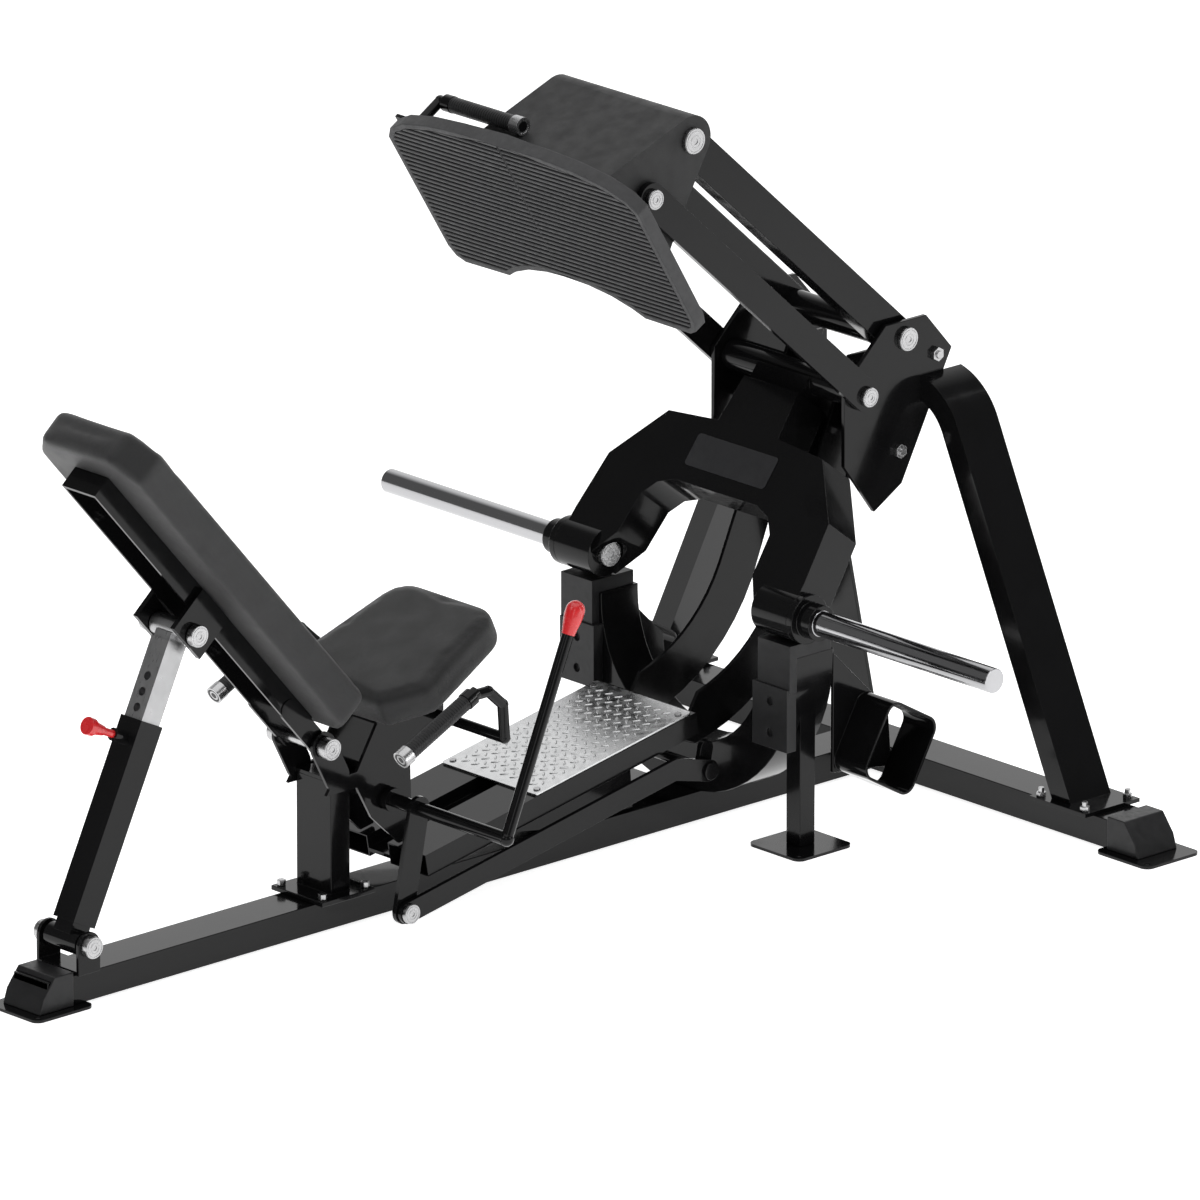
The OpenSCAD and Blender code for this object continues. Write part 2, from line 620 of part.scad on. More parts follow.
shaft_at = [-600, 156];
module catch_link() put() color([0.06, 0.06, 0.06]) side(158, 168) difference() {
    union() {
        link2d(link_at, [-690, 178], 44);
        link2d([-690, 178], shaft_at, 44);
    }
    translate(link_at) circle(r = 10 + run_gap);
    translate(shaft_at) circle(r = 11);
}

module catch_shaft() put() color([0.1, 0.1, 0.1]) {
    bar_x(-172, 172, shaft_at[0], shaft_at[1], 10.99);
    for (x = [-170, 168.2]) bar_x(x, x + 6, shaft_at[0], shaft_at[1], 18);
    for (x = [-150, 138]) side(x, x + 12) link2d(shaft_at, shaft_at + [8, 40], 34);
}

main_rail();
rear_beam();
front_foot();
rear_feet();
post_feet();
front_boot();
rear_boots();
tower_plate_right();
tower_plate_left();
spine();
tower_bolts();
rear_leg_right();
rear_leg_left();
leg_bolts();
stop_frame();
bumper_right();
bumper_left();
post_gusset_right();
post_gusset_left();
platform_beams();
tread_plate();
tread_screws();
seat_post();
seat_frame();
seat_post_bolts();
seat_pad();
seat_grab_right();
seat_grab_left();
strut_bracket();
strut_base_pin();
back_frame();
back_hinge_pin();
back_pad();
back_bolts();
strut_top_pin();
strut_tube();
strut_slider();
pull_pin();
upper_arm_right();
upper_arm_left();
upper_arm_shaft();
upper_pivot_pin();
lower_arm_right();
lower_arm_left();
lower_pivot_pin();
weight_arch();
placard();
weight_horn_right();
weight_horn_left();
horn_caps();
head_box();
head_upper_pin();
head_lower_pin();
foot_plate();
head_grab();
release_lever();
release_knob();
link_pin();
catch_link();
catch_shaft();
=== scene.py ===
import json
import math
import bpy
from mathutils import Vector, Matrix


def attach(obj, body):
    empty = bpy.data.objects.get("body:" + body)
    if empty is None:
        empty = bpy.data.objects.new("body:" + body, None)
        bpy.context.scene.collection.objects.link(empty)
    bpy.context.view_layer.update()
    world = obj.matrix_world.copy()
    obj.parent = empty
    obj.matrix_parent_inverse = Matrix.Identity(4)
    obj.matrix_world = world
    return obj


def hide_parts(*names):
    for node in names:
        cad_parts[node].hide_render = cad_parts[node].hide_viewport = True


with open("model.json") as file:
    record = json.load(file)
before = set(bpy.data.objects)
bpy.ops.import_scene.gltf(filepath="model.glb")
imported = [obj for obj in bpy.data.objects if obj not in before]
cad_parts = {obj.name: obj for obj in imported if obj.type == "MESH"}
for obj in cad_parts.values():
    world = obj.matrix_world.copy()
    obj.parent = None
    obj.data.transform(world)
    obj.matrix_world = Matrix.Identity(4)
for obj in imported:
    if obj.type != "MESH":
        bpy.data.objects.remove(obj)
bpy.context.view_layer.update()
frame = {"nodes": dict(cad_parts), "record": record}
rearY = 1.105                                   # centre line of the rear beam
bodyOf = {}
for bodyName, nodeNames in frame["record"]["behaviour"]["bodies"].items():
    for nodeName in nodeNames:
        bodyOf[nodeName] = bodyName
slotOf = {entry["node"]: entry["material_slot"] for entry in frame["record"]["subparts"]}
print("frame loaded:", len(bodyOf), "nodes")


def startMaterial(name, color, roughness, metallic=0.0, specular=0.5):
    mat = bpy.data.materials.new(name)
    mat.use_nodes = True
    shader = mat.node_tree.nodes["Principled BSDF"]
    shader.inputs["Base Color"].default_value = (*color, 1)
    shader.inputs["Roughness"].default_value = roughness
    shader.inputs["Metallic"].default_value = metallic
    shader.inputs["Specular IOR Level"].default_value = specular
    return mat, shader


def addNode(mat, kind, **sockets):
    made = mat.node_tree.nodes.new(kind)
    for key, value in sockets.items():
        made.inputs[key.replace("_", " ")].default_value = value
    return made


def link(mat, out, into):
    mat.node_tree.links.new(out, into)


def objectPlace(mat, scale=(1, 1, 1)):
    place = mat.node_tree.nodes.new("ShaderNodeTexCoord")
    mapping = addNode(mat, "ShaderNodeMapping", Scale=scale)
    link(mat, place.outputs["Object"], mapping.inputs["Vector"])
    return mapping.outputs["Vector"]


def noise(mat, vector, scale, detail=3.0, roughness=0.5):
    made = addNode(mat, "ShaderNodeTexNoise", Scale=scale, Detail=detail, Roughness=roughness)
    link(mat, vector, made.inputs["Vector"])
    return made.outputs["Fac"]


def spread(mat, value, low, high, fromLow=0.3, fromHigh=0.7):
    made = mat.node_tree.nodes.new("ShaderNodeMapRange")
    made.inputs["From Min"].default_value = fromLow
    made.inputs["From Max"].default_value = fromHigh
    made.inputs["To Min"].default_value = low
    made.inputs["To Max"].default_value = high
    link(mat, value, made.inputs["Value"])
    return made.outputs["Result"]


def blendColors(mat, factor, first, second, shader):
    made = mat.node_tree.nodes.new("ShaderNodeMix")
    made.data_type = "RGBA"
    made.inputs[6].default_value = (*first, 1)
    made.inputs[7].default_value = (*second, 1)
    link(mat, factor, made.inputs[0])
    link(mat, made.outputs[2], shader.inputs["Base Color"])


def addBump(mat, shader, height, strength, distance, below=None):
    made = addNode(mat, "ShaderNodeBump", Strength=strength, Distance=distance)
    link(mat, height, made.inputs["Height"])
    if below is not None:
        link(mat, below, made.inputs["Normal"])
    link(mat, made.outputs["Normal"], shader.inputs["Normal"])
    return made.outputs["Normal"]


glossPaint = {"color": (0.003, 0.003, 0.0032), "dusty": (0.0058, 0.0058, 0.0062),
              "roughness": (0.09, 0.17)}


def makeGlossPaint():
    mat, shader = startMaterial("glossBlackPaint", glossPaint["color"], 0.17, specular=0.16)
    shader.inputs["Coat Weight"].default_value = 0.12
    shader.inputs["Coat Roughness"].default_value = 0.06
    place = objectPlace(mat)
    cloud = noise(mat, place, 6.0, 5.0, 0.6)
    blendColors(mat, cloud, glossPaint["color"], glossPaint["dusty"], shader)
    wear = spread(mat, noise(mat, place, 22.0, 4.0), *glossPaint["roughness"])
    link(mat, wear, shader.inputs["Roughness"])
    peel = addBump(mat, shader, noise(mat, place, 420.0, 2.0), 0.02, 0.0005)
    addBump(mat, shader, noise(mat, place, 60.0, 1.0), 0.03, 0.001, peel)
    return mat


def makeTexturedPaint():
    mat, shader = startMaterial("texturedBlackPaint", (0.02, 0.02, 0.021), 0.5, specular=0.25)
    place = objectPlace(mat)
    speckle = noise(mat, place, 900.0, 2.0)
    blendColors(mat, speckle, (0.010, 0.010, 0.010), (0.032, 0.032, 0.033), shader)
    link(mat, spread(mat, noise(mat, place, 30.0), 0.42, 0.6), shader.inputs["Roughness"])
    addBump(mat, shader, noise(mat, place, 1100.0, 2.0), 0.35, 0.0006)
    return mat


def makeRubber(name, low, high, roughness, grain, depth):
    mat, shader = startMaterial(name, low, roughness, specular=0.25)
    place = objectPlace(mat)
    blendColors(mat, noise(mat, place, 35.0, 6.0, 0.65), low, high, shader)
    wear = spread(mat, noise(mat, place, 80.0), roughness - 0.08, roughness + 0.1)
    link(mat, wear, shader.inputs["Roughness"])
    addBump(mat, shader, noise(mat, place, grain, 3.0), depth, 0.0008)
    return mat


def makeVinyl():
    mat, shader = startMaterial("blackPadVinyl", (0.02, 0.02, 0.021), 0.46, specular=0.3)
    shader.inputs["Sheen Weight"].default_value = 0.12
    shader.inputs["Sheen Roughness"].default_value = 0.5
    place = objectPlace(mat)
    cells = addNode(mat, "ShaderNodeTexVoronoi", Scale=620.0)
    cells.feature = "DISTANCE_TO_EDGE"
    link(mat, place, cells.inputs["Vector"])
    grain = spread(mat, cells.outputs["Distance"], 0.0, 1.0, 0.0, 0.22)
    blendColors(mat, grain, (0.009, 0.009, 0.009), (0.022, 0.022, 0.023), shader)
    link(mat, spread(mat, noise(mat, place, 18.0, 4.0), 0.4, 0.55), shader.inputs["Roughness"])
    fold = addBump(mat, shader, grain, 0.45, 0.0005)
    addBump(mat, shader, noise(mat, place, 14.0, 3.0), 0.12, 0.006, fold)
    return mat


def makeMetal(name, low, high, roughness, stretch, scratch):
    mat, shader = startMaterial(name, low, roughness[0], metallic=1.0)
    place = objectPlace(mat, stretch)
    blendColors(mat, noise(mat, place, 9.0, 5.0), low, high, shader)
    link(mat, spread(mat, noise(mat, place, 60.0, 4.0), *roughness), shader.inputs["Roughness"])
    addBump(mat, shader, noise(mat, place, 240.0, 2.0), scratch, 0.0005)
    return mat


def makeRedPlastic():
    mat, shader = startMaterial("redGlossPlastic", (0.62, 0.012, 0.016), 0.25)
    shader.inputs["Coat Weight"].default_value = 0.5
    shader.inputs["Coat Roughness"].default_value = 0.12
    place = objectPlace(mat)
    cloud = noise(mat, place, 25.0, 4.0)
    blendColors(mat, cloud, (0.56, 0.009, 0.013), (0.68, 0.018, 0.022), shader)
    link(mat, spread(mat, noise(mat, place, 90.0), 0.2, 0.33), shader.inputs["Roughness"])
    addBump(mat, shader, noise(mat, place, 300.0), 0.04, 0.0005)
    return mat


rubberLook = {                                  # dark and light color, roughness, grain, depth
    "boot_rubber": ("mouldedBlackRubber", (0.010, 0.010, 0.0105), (0.019, 0.019, 0.020),
                    0.36, 500.0, 0.1),
    "foot_rubber": ("ribbedFootRubber", (0.040, 0.040, 0.041), (0.066, 0.066, 0.068),
                    0.6, 700.0, 0.25),
    "grip_rubber": ("knurledGripRubber", (0.014, 0.014, 0.015), (0.026, 0.026, 0.027),
                    0.5, 900.0, 0.3),
    "placard_print": ("mattePlacard", (0.020, 0.020, 0.022), (0.036, 0.036, 0.038),
                      0.4, 300.0, 0.05),
}
metalLook = {                                   # dark and light color, roughness, stretch, scratch
    "tread_aluminium": ("treadAluminium", (0.56, 0.57, 0.575), (0.66, 0.66, 0.665),
                        (0.16, 0.34), (1, 1, 1), 0.05),
    "chrome_tube": ("polishedTube", (0.36, 0.36, 0.37), (0.46, 0.46, 0.47),
                    (0.07, 0.16), (0.2, 3, 3), 0.01),
    "bare_steel": ("bareSteel", (0.34, 0.34, 0.345), (0.44, 0.44, 0.445),
                   (0.26, 0.42), (6, 1, 1), 0.05),
    "zinc_steel": ("turnedZincSteel", (0.38, 0.38, 0.385), (0.50, 0.50, 0.505),
                   (0.2, 0.34), (1, 4, 4), 0.02),
}
materialOf = {
    "black_paint": makeGlossPaint(),
    "textured_paint": makeTexturedPaint(),
    "pad_vinyl": makeVinyl(),
    "red_plastic": makeRedPlastic(),
}
for slotName, look in rubberLook.items():
    materialOf[slotName] = makeRubber(*look)
for slotName, look in metalLook.items():
    materialOf[slotName] = makeMetal(*look)
print("materials made:", len(materialOf))


def only(piece):
    bpy.ops.object.select_all(action="DESELECT")
    piece.select_set(True)
    bpy.context.view_layer.objects.active = piece


def edit(piece, mode="FACE"):
    only(piece)
    bpy.ops.object.mode_set(mode="EDIT")
    bpy.ops.mesh.select_mode(type=mode)
    bpy.ops.mesh.select_all(action="DESELECT")
    bpy.ops.object.mode_set(mode="OBJECT")


def pickFaces(piece, test):
    edit(piece)
    for face in piece.data.polygons:
        face.select = test(face.center, face.normal)
    bpy.ops.object.mode_set(mode="EDIT")


def leaveEdit():
    bpy.ops.object.mode_set(mode="OBJECT")


def applyAll(piece):
    only(piece)
    for modifier in list(piece.modifiers):
        bpy.ops.object.modifier_apply(modifier=modifier.name)


def settle(piece):
    only(piece)
    bpy.ops.object.transform_apply(location=True, rotation=True, scale=True)


def smoothBy(piece, degrees):
    only(piece)
    bpy.ops.object.shade_smooth_by_angle(angle=math.radians(degrees))


def setMaterial(piece, slotName):
    piece.data.materials.clear()
    piece.data.materials.append(materialOf[slotName])


def copyNode(nodeName, pieceName):
    piece = bpy.data.objects.new(pieceName, frame["nodes"][nodeName].data.copy())
    bpy.context.scene.collection.objects.link(piece)
    edit(piece)
    bpy.ops.object.mode_set(mode="EDIT")
    bpy.ops.mesh.select_all(action="SELECT")
    bpy.ops.mesh.remove_doubles(threshold=0.00002)
    bpy.ops.mesh.dissolve_limited(angle_limit=math.radians(0.6))
    leaveEdit()
    return piece


def soften(piece, width, segments=2, angle=32):
    rounding = piece.modifiers.new("rounding", "BEVEL")
    rounding.width = width
    rounding.segments = segments
    rounding.limit_method = "ANGLE"
    rounding.angle_limit = math.radians(angle)
    rounding.use_clamp_overlap = True
    applyAll(piece)
    smoothBy(piece, 40)
    evening = piece.modifiers.new("evening", "WEIGHTED_NORMAL")
    evening.keep_sharp = True
    applyAll(piece)


def hand(piece, bodyName, slotName, *replaced):
    setMaterial(piece, slotName)
    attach(piece, bodyName)
    if replaced:
        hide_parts(*replaced)


# how wide each painted, steel and rubber piece is rounded at its edges, in metres
edgeWidth = {
    "main_rail": 0.004, "rear_beam": 0.004, "front_foot": 0.0015, "rear_feet": 0.0015,
    "post_feet": 0.0015, "front_boot": 0.007, "rear_boots": 0.007,
    "tower_plate_right": 0.0012, "tower_plate_left": 0.0012,
    "spine": 0.0012, "tower_bolts": 0.001, "rear_leg_right": 0.009, "rear_leg_left": 0.009,
    "leg_bolts": 0.001, "stop_frame": 0.002, "bumper_right": 0.009, "bumper_left": 0.009,
    "post_gusset_right": 0.0015, "post_gusset_left": 0.0015, "platform_beams": 0.003,
    "tread_plate": 0.001, "tread_screws": 0.0008, "seat_post": 0.003, "seat_frame": 0.0012,
    "seat_post_bolts": 0.001,
    "strut_bracket": 0.0015, "strut_base_pin": 0.001, "back_frame": 0.003, "back_hinge_pin": 0.001,
    "back_bolts": 0.001, "strut_top_pin": 0.001, "strut_tube": 0.003, "strut_slider": 0.002,
    "pull_pin": 0.0025, "upper_arm_right": 0.005, "upper_arm_left": 0.005, "upper_arm_shaft": 0.001,
    "upper_pivot_pin": 0.001, "lower_arm_right": 0.0012, "lower_arm_left": 0.0012,
    "lower_pivot_pin": 0.001, "weight_arch": 0.0018, "placard": 0.0003, "weight_horn_right": 0.0015,
    "weight_horn_left": 0.0015, "horn_caps": 0.001, "head_box": 0.0012, "head_upper_pin": 0.001,
    "head_lower_pin": 0.001, "head_grab": 0.001, "seat_grab_right": 0.001, "seat_grab_left": 0.001,
    "release_lever": 0.001, "release_knob": 0.004, "link_pin": 0.001, "catch_link": 0.0012,
    "catch_shaft": 0.001,
}


def pieceNameFor(nodeName):
    words = nodeName.split("_")
    return words[0] + "".join(word.capitalize() for word in words[1:])


finished = {}
for nodeName, width in edgeWidth.items():
    piece = copyNode(nodeName, pieceNameFor(nodeName))
    soften(piece, width)
    hand(piece, bodyOf[nodeName], slotOf[nodeName], nodeName)
    finished[nodeName] = piece
for nodeName in ("seat_grab_right", "seat_grab_left", "head_grab"):    # painted under the sleeves
    finished[nodeName].data.materials[0] = materialOf["black_paint"]
hornPaintEnd = 0.3862                           # flange and collar are painted out to here
for nodeName in ("weight_horn_right", "weight_horn_left"):
    horn = finished[nodeName]
    horn.data.materials.append(materialOf["black_paint"])
    for face in horn.data.polygons:
        if abs(face.center.x) < hornPaintEnd:
            face.material_index = 1
print("rounded pieces:", len(finished))


# the foot plate has a flat border around a field of ribs
ribbing = {"border": 0.013, "depth": 0.0045, "pitch": 0.0128, "width": 0.0074, "round": 0.0016,
           "count": 34, "length": 0.76, "first": -0.085, "lift": 0.0002, "plateRound": 0.0028}
plateAt = {"place": (0, rearY - 0.942, 1.428), "tilt": -58.9, "front": -0.030}
plateFrame = (Matrix.Translation(plateAt["place"])
              @ Matrix.Rotation(math.radians(plateAt["tilt"]), 4, "X"))
footPlate = copyNode("foot_plate", "footPlate")
footPlate.data.transform(plateFrame.inverted())
pickFaces(footPlate, lambda centre, normal: normal.z < -0.9)
bpy.ops.mesh.inset(thickness=ribbing["border"], use_boundary=True)
bpy.ops.mesh.extrude_region_move(TRANSFORM_OT_translate={"value": (0, 0, ribbing["depth"])})
bpy.ops.mesh.duplicate()
bpy.ops.mesh.separate(type="SELECTED")
leaveEdit()
ribArea = [o for o in bpy.context.selected_objects if o is not footPlate][0]
ribArea.name = "ribArea"
pickFaces(ribArea, lambda centre, normal: True)
bpy.ops.mesh.extrude_region_move(TRANSFORM_OT_translate={"value": (0, 0, -ribbing["depth"] * 2)})
bpy.ops.mesh.select_all(action="SELECT")
bpy.ops.mesh.normals_make_consistent(inside=False)
leaveEdit()
bpy.ops.object.select_all(action="DESELECT")
bpy.ops.mesh.primitive_cube_add(
    size=1, location=(0, ribbing["first"], plateAt["front"] + ribbing["depth"] / 2))
ribs = bpy.context.active_object
ribs.name = "footPlateRibs"
ribs.scale = (ribbing["length"], ribbing["width"], ribbing["depth"] + ribbing["lift"] * 2)
settle(ribs)
ribs.data.transform(Matrix.Translation((0, 0, ribbing["lift"])))
crown = ribs.modifiers.new("crown", "BEVEL")
crown.width = ribbing["round"]
crown.segments = 2
row = ribs.modifiers.new("row", "ARRAY")
row.count = ribbing["count"]
row.use_relative_offset = False
row.use_constant_offset = True
row.constant_offset_displace = (0, ribbing["pitch"], 0)
applyAll(ribs)
trim = ribs.modifiers.new("trim", "BOOLEAN")
trim.operation = "INTERSECT"
trim.solver = "EXACT"
trim.object = ribArea
applyAll(ribs)
bpy.data.objects.remove(ribArea)
ribs.data.transform(plateFrame)
smoothBy(ribs, 40)
footPlate.data.transform(plateFrame)
soften(footPlate, ribbing["plateRound"], 3)
hand(footPlate, "head", "foot_rubber", "foot_plate")
hand(ribs, "head", "foot_rubber")
print("foot plate ribbed:", len(ribs.data.polygons))


# each ring of a turned face: share of the radius inset, then push inwards
turning = {"thick": 0.0016, "round": 0.0002,
           "rings": ((0.14, 0.0008), (0.05, -0.0008), (0.3, 0.0006), (0.06, -0.0006),
                     (0.2, 0.0022))}


def turnedFace(pieceName, x, y, z, radius, bodyName, outwards=True):
    side = 1 if (x > 0) == outwards else -1     # the way that the turned face looks
    bpy.ops.object.select_all(action="DESELECT")
    bpy.ops.mesh.primitive_cylinder_add(
        vertices=64, radius=radius, depth=turning["thick"],
        location=(x, y + rearY, z), rotation=(0, math.pi / 2, 0))
    turned = bpy.context.active_object
    turned.name = pieceName
    settle(turned)
    pickFaces(turned, lambda centre, normal: normal.x * side > 0.9)
    for share, push in turning["rings"]:
        bpy.ops.mesh.inset(thickness=share * radius)
        bpy.ops.mesh.extrude_region_move(TRANSFORM_OT_translate={"value": (-side * push, 0, 0)})
    leaveEdit()
    soften(turned, turning["round"], 1)
    hand(turned, bodyName, "zinc_steel")


pinFaces = {                                    # x, y from the rear beam, z, radius, body
    "upperPivot": (0.2026, -0.096, 0.948, 0.0232, "frame"),
    "lowerPivot": (0.2199, -0.216, 0.857, 0.0193, "press_lever"),
    "headUpper": (0.2026, -0.675, 1.474, 0.0252, "head"),
    "headLower": (0.2199, -0.795, 1.383, 0.0193, "head"),
    "strutTop": (0.0768, -1.862, 0.692, 0.0213, "back_rest"),
    "strutBase": (0.0768, -2.138, 0.122, 0.0213, "frame"),
    "backHinge": (0.0846, -1.526, 0.388, 0.0213, "frame"),
}
for pinName, (x, y, z, radius, bodyName) in pinFaces.items():
    turnedFace(pinName + "FaceRight", x, y, z, radius, bodyName)
    turnedFace(pinName + "FaceLeft", -x, y, z, radius, bodyName)
turnedFace("linkPinFace", 0.1776, -1.402, 0.045, 0.0193, "release")
for side, sideName in ((1, "Right"), (-1, "Left")):
    turnedFace("hornCapInner" + sideName, side * 0.2214, -0.505, 0.492, 0.0253, "press_lever",
               outwards=False)
print("pin faces turned")


# grip sleeves and their end collars
sleeveShape = {"radius": 0.0166, "groove": 0.0007, "rings": 27, "collar": 0.0186,
               "collarRings": ((0.004, 0.0012), (0.004, -0.0006), (0.004, 0.002))}


def placeAlong(start, direction, length):       # an upright cylinder laid along a direction
    turn = direction.to_track_quat("Z", "Y").to_matrix().to_4x4()
    return Matrix.Translation(Vector(start) + direction * length / 2) @ turn


def gripSleeve(pieceName, start, direction, length, bodyName):
    direction = Vector(direction).normalized()
    bpy.ops.object.select_all(action="DESELECT")
    bpy.ops.mesh.primitive_cylinder_add(vertices=40, radius=sleeveShape["radius"], depth=length)
    sleeve = bpy.context.active_object
    sleeve.name = pieceName
    pickFaces(sleeve, lambda centre, normal: abs(normal.z) < 0.5)
    bpy.ops.mesh.select_mode(type="EDGE")
    leaveEdit()
    for edge in sleeve.data.edges:
        ends = [sleeve.data.vertices[i].co for i in edge.vertices]
        edge.select = abs(ends[0].z - ends[1].z) > length / 2
    bpy.ops.object.mode_set(mode="EDIT")
    bpy.ops.mesh.subdivide(number_cuts=sleeveShape["rings"] * 2 - 1)
    leaveEdit()
    step = length / (sleeveShape["rings"] * 2)
    for vertex in sleeve.data.vertices:
        ring = round((vertex.co.z + length / 2) / step)
        if ring % 2:
            shrink = 1 - sleeveShape["groove"] / sleeveShape["radius"]
            vertex.co.x *= shrink
            vertex.co.y *= shrink
    sleeve.data.transform(placeAlong(start, direction, length))
    soften(sleeve, 0.0008, 2, 60)
    hand(sleeve, bodyName, "grip_rubber")


def endCollar(pieceName, start, direction, length, bodyName):
    direction = Vector(direction).normalized()
    bpy.ops.object.select_all(action="DESELECT")
    bpy.ops.mesh.primitive_cylinder_add(vertices=56, radius=sleeveShape["collar"], depth=length)
    collar = bpy.context.active_object
    collar.name = pieceName
    pickFaces(collar, lambda centre, normal: normal.z > 0.9)
    for width, push in sleeveShape["collarRings"]:
        bpy.ops.mesh.inset(thickness=width)
        bpy.ops.mesh.extrude_region_move(TRANSFORM_OT_translate={"value": (0, 0, -push)})
    leaveEdit()
    collar.data.transform(placeAlong(start, direction, length))
    soften(collar, 0.0012, 3, 60)
    hand(collar, bodyName, "zinc_steel")


grabLine = Vector((0, -0.178, -0.085)).normalized()
for side, sideName in ((1, "Right"), (-1, "Left")):
    grabEnd = Vector((side * 0.272, rearY - 1.330, 0.500))
    gripSleeve("seatGrip" + sideName, grabEnd + grabLine * 0.021, grabLine, 0.164, "frame")
    endCollar("seatGripEnd" + sideName, grabEnd + grabLine * 0.1845, grabLine, 0.0235, "frame")
headGrabStart = Vector((0, rearY - 0.862, 1.478))
gripSleeve("headGrip", headGrabStart + Vector((-0.290, 0, 0)), (1, 0, 0), 0.176, "head")
endCollar("headGripEnd", headGrabStart + Vector((-0.1135, 0, 0)), (1, 0, 0), 0.024, "head")
print("grips made")


# raised lugs of the tread plate
lugShape = {"length": 0.0105, "width": 0.0034, "height": 0.0013, "pitch": 0.028}
treadAt = {"foot": (0, rearY - 1.330, 0.118), "rise": 0.132, "run": 0.720,
           "middle": (0, 0.300, 0.0273)}
treadSlope = math.atan2(treadAt["rise"], treadAt["run"])
treadFrame = (Matrix.Translation(treadAt["foot"]) @ Matrix.Rotation(treadSlope, 4, "X")
              @ Matrix.Translation(treadAt["middle"]))


def lugField(pieceName, turn, corner, columns, rows):
    bpy.ops.object.select_all(action="DESELECT")
    bpy.ops.mesh.primitive_cylinder_add(vertices=14, radius=1, depth=2, location=(0, 0, 0))
    lugs = bpy.context.active_object
    lugs.name = pieceName
    lugs.scale = (lugShape["length"], lugShape["width"], lugShape["height"])
    settle(lugs)
    pickFaces(lugs, lambda centre, normal: normal.z > 0.9)
    bpy.ops.transform.resize(value=(0.72, 0.6, 1))
    bpy.ops.mesh.extrude_region_move(TRANSFORM_OT_translate={"value": (0, 0, 0.0003)})
    bpy.ops.transform.resize(value=(0.7, 0.5, 1))
    leaveEdit()
    lugs.data.transform(Matrix.Translation((*corner, 0))
                        @ Matrix.Rotation(math.radians(turn), 4, "Z"))
    for count, way in ((columns, (lugShape["pitch"], 0, 0)), (rows, (0, lugShape["pitch"], 0))):
        repeat = lugs.modifiers.new("repeat", "ARRAY")
        repeat.count = count
        repeat.use_relative_offset = False
        repeat.use_constant_offset = True
        repeat.constant_offset_displace = way
    applyAll(lugs)
    lugs.data.transform(treadFrame)
    smoothBy(lugs, 50)
    hand(lugs, "frame", "tread_aluminium")


lugField("treadLugsAcross", 45, (-0.098, 0.030), 8, 14)
lugField("treadLugsBack", -45, (-0.112, 0.044), 9, 13)
print("tread lugs made")


# seat and back pads
padShape = {
    "back_pad": {"name": "backPad", "shrink": 0.004, "round": 0.014, "voxel": 0.0055, "cap": 0.0045,
                 "out": (0.0, -0.755, -0.656), "fill": 0.85},
    "seat_pad": {"name": "seatPad", "shrink": 0.004, "round": 0.014, "voxel": 0.0055, "cap": 0.005,
                 "out": (0.0, 0.4067, -0.9135), "fill": 0.85},
}


swelling = {"pressure": 4.0, "stretch": 25, "bend": 4, "quality": 4, "frames": 20}
heldDepth = 0.004                               # how much of the back is held to the board
backDepth = 0.02                                # how much of the back is moved onto the board


def swell(piece, shape):
    out = Vector(shape["out"])                  # points to the board that the pad rests on
    reach = max(out.dot(vertex.co) for vertex in piece.data.vertices)
    held = piece.vertex_groups.new(name="held")
    board = [v.index for v in piece.data.vertices if out.dot(v.co) > reach - heldDepth]
    held.add(board, 1.0, "REPLACE")
    start = [(vertex.co.copy(), vertex.normal.copy()) for vertex in piece.data.vertices]
    cloth = piece.modifiers.new("swelling", "CLOTH")
    cloth.settings.use_pressure = True
    cloth.settings.uniform_pressure_force = swelling["pressure"]
    cloth.settings.vertex_group_mass = "held"
    cloth.settings.tension_stiffness = swelling["stretch"]
    cloth.settings.compression_stiffness = swelling["stretch"]
    cloth.settings.bending_stiffness = swelling["bend"]
    cloth.settings.effector_weights.gravity = 0
    cloth.settings.quality = swelling["quality"]
    scene = bpy.context.scene
    for step in range(1, swelling["frames"] + 1):
        scene.frame_set(step)
    after = piece.evaluated_get(bpy.context.evaluated_depsgraph_get()).data
    moved = [vertex.co.copy() for vertex in after.vertices]
    piece.modifiers.clear()
    for vertex, (first, normal), last in zip(piece.data.vertices, start, moved):
        push = min(max((last - first).dot(normal), 0.0), shape["cap"])
        vertex.co = first + normal * push
    scene.frame_set(1)


for nodeName, shape in padShape.items():
    pad = copyNode(nodeName, shape["name"])
    only(pad)
    bpy.ops.object.mode_set(mode="EDIT")
    bpy.ops.mesh.select_all(action="SELECT")
    bpy.ops.transform.shrink_fatten(value=-shape["shrink"])
    leaveEdit()
    out = Vector(shape["out"])
    cadReach = max(out.dot(v.co) for v in frame["nodes"][nodeName].data.vertices)
    padReach = max(out.dot(v.co) for v in pad.data.vertices)
    for vertex in pad.data.vertices:            # the back stays on its board
        if out.dot(vertex.co) > padReach - backDepth:
            vertex.co += out * (cadReach - padReach)
    edging = pad.modifiers.new("edging", "BEVEL")
    edging.width = shape["round"]
    edging.segments = 3
    edging.limit_method = "ANGLE"
    edging.angle_limit = math.radians(50)
    applyAll(pad)
    grid = pad.modifiers.new("grid", "REMESH")
    grid.mode = "VOXEL"
    grid.voxel_size = shape["voxel"]
    applyAll(pad)
    swell(pad, shape)
    ease = pad.modifiers.new("ease", "SMOOTH")
    ease.factor = 0.5
    ease.iterations = 6
    applyAll(pad)
    finer = pad.modifiers.new("finer", "SUBSURF")
    finer.levels = 1
    finer.render_levels = 1
    applyAll(pad)
    only(pad)
    bpy.ops.object.shade_smooth()
    pad.vertex_groups.clear()
    hand(pad, bodyOf[nodeName], "pad_vinyl", nodeName)
print("pads made")


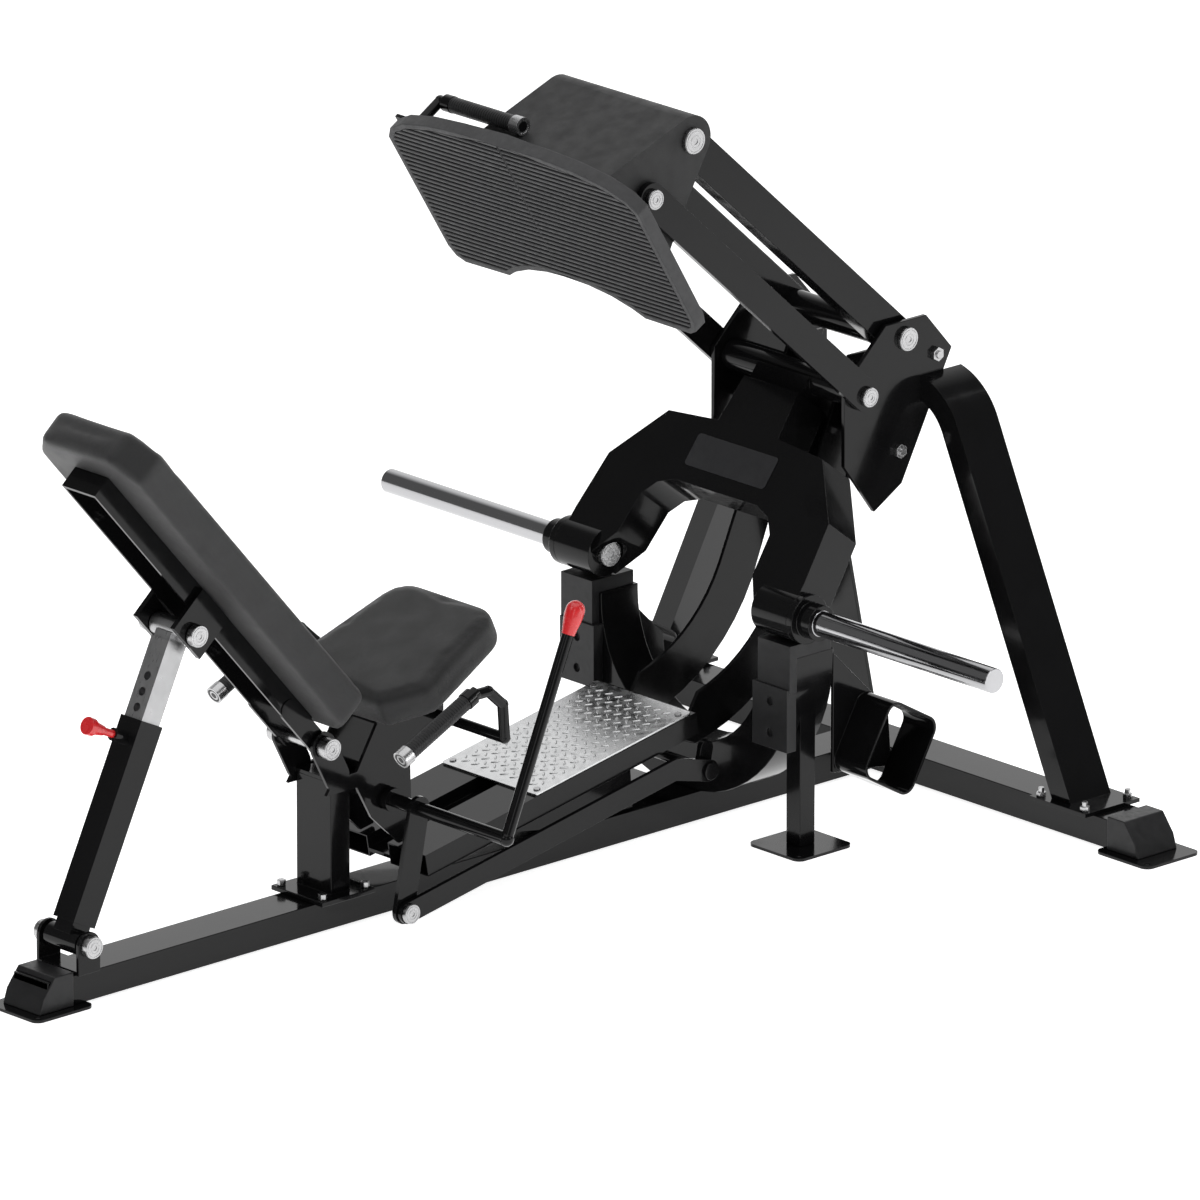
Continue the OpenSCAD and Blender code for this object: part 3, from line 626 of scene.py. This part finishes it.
# camera, floor and lights
view = {"side": 47.235, "rise": 17.99, "across": 0.5438, "up": 0.321, "lens": 600, "away": 40}
viewSide = math.radians(view["side"])
viewRise = math.radians(view["rise"])
viewRight = Vector((math.cos(viewSide), math.sin(viewSide), 0))
viewUp = Vector((-math.sin(viewSide) * math.sin(viewRise),
                 math.cos(viewSide) * math.sin(viewRise), math.cos(viewRise)))
toCamera = Vector((math.sin(viewSide) * math.cos(viewRise),
                   -math.cos(viewSide) * math.cos(viewRise), math.sin(viewRise)))
viewCentre = Vector((0, rearY, 0)) - viewRight * view["across"] + viewUp * view["up"]
cameraData = bpy.data.cameras.new("camera")
cameraData.lens = view["lens"]
cameraData.sensor_width = 36
cameraData.clip_end = 100
camera = bpy.data.objects.new("camera", cameraData)
camera.location = viewCentre + toCamera * view["away"]
camera.rotation_euler = toCamera.to_track_quat("Z", "Y").to_euler()
bpy.context.scene.collection.objects.link(camera)
bpy.context.scene.camera = camera

studio = {"floorSize": 90, "worldLow": 0.16, "worldBack": 1.1, "wallFrom": 0.62, "wallTo": 0.92,
          "floorGlow": 0.88}
bpy.ops.object.select_all(action="DESELECT")
bpy.ops.mesh.primitive_plane_add(size=studio["floorSize"], location=(0, 0, -0.0005))
floor = bpy.context.active_object
floor.name = "floor"
settle(floor)
floorMat, floorShader = startMaterial("paleFloor", (0.93, 0.93, 0.93), 0.8, specular=0.1)
floorShader.inputs["Emission Color"].default_value = (1, 1, 1, 1)
floorShader.inputs["Emission Strength"].default_value = studio["floorGlow"]
floor.data.materials.append(floorMat)

world = bpy.data.worlds.new("studio")
bpy.context.scene.world = world
world.use_nodes = True
backdrop = world.node_tree.nodes["Background"]
direction = world.node_tree.nodes.new("ShaderNodeTexCoord")
facing = world.node_tree.nodes.new("ShaderNodeVectorMath")    # how far it points to the back wall
facing.operation = "DOT_PRODUCT"
facing.inputs[1].default_value = (-math.sin(viewSide), math.cos(viewSide), 0.2)
wall = world.node_tree.nodes.new("ShaderNodeMapRange")
wall.inputs["From Min"].default_value = studio["wallFrom"]
wall.inputs["From Max"].default_value = studio["wallTo"]
wall.inputs["To Min"].default_value = studio["worldLow"]
wall.inputs["To Max"].default_value = studio["worldBack"]
world.node_tree.links.new(direction.outputs["Generated"], facing.inputs[0])
world.node_tree.links.new(facing.outputs["Value"], wall.inputs["Value"])
world.node_tree.links.new(wall.outputs["Result"], backdrop.inputs["Strength"])
backdrop.inputs["Color"].default_value = (1, 1, 1, 1)

softLights = {
    "overhead": {"place": (0.2, 0.0, 4.8), "aim": (0, 0, 0.5), "size": (6.0, 6.0), "power": 135},
    "rightStrip": {"place": (4.6, 1.8, 1.6), "aim": (0, 0.6, 0.8), "size": (0.5, 3.4), "power": 40},
    "leftKey": {"place": (-0.8, -4.8, 3.8), "aim": (0, 0, 0.7), "size": (2.6, 2.6), "power": 36},
    "frontFill": {"place": (4.2, -4.6, 2.8), "aim": (0, 0, 0.6), "size": (1.4, 3.0), "power": 20},
    "farStrip": {"place": (1.2, 4.8, 2.4), "aim": (0, 0.4, 0.8), "size": (0.5, 3.4), "power": 30},
}
for lightName, values in softLights.items():
    lamp = bpy.data.lights.new(lightName, "AREA")
    lamp.shape = "RECTANGLE"
    lamp.size, lamp.size_y = values["size"]
    lamp.energy = values["power"]
    holder = bpy.data.objects.new(lightName, lamp)
    holder.location = values["place"]
    away = Vector(values["place"]) - Vector(values["aim"])
    holder.rotation_euler = away.to_track_quat("Z", "Y").to_euler()
    holder.visible_camera = False
    bpy.context.scene.collection.objects.link(holder)
bpy.context.scene.view_settings.view_transform = "Standard"
print("camera and lights set")
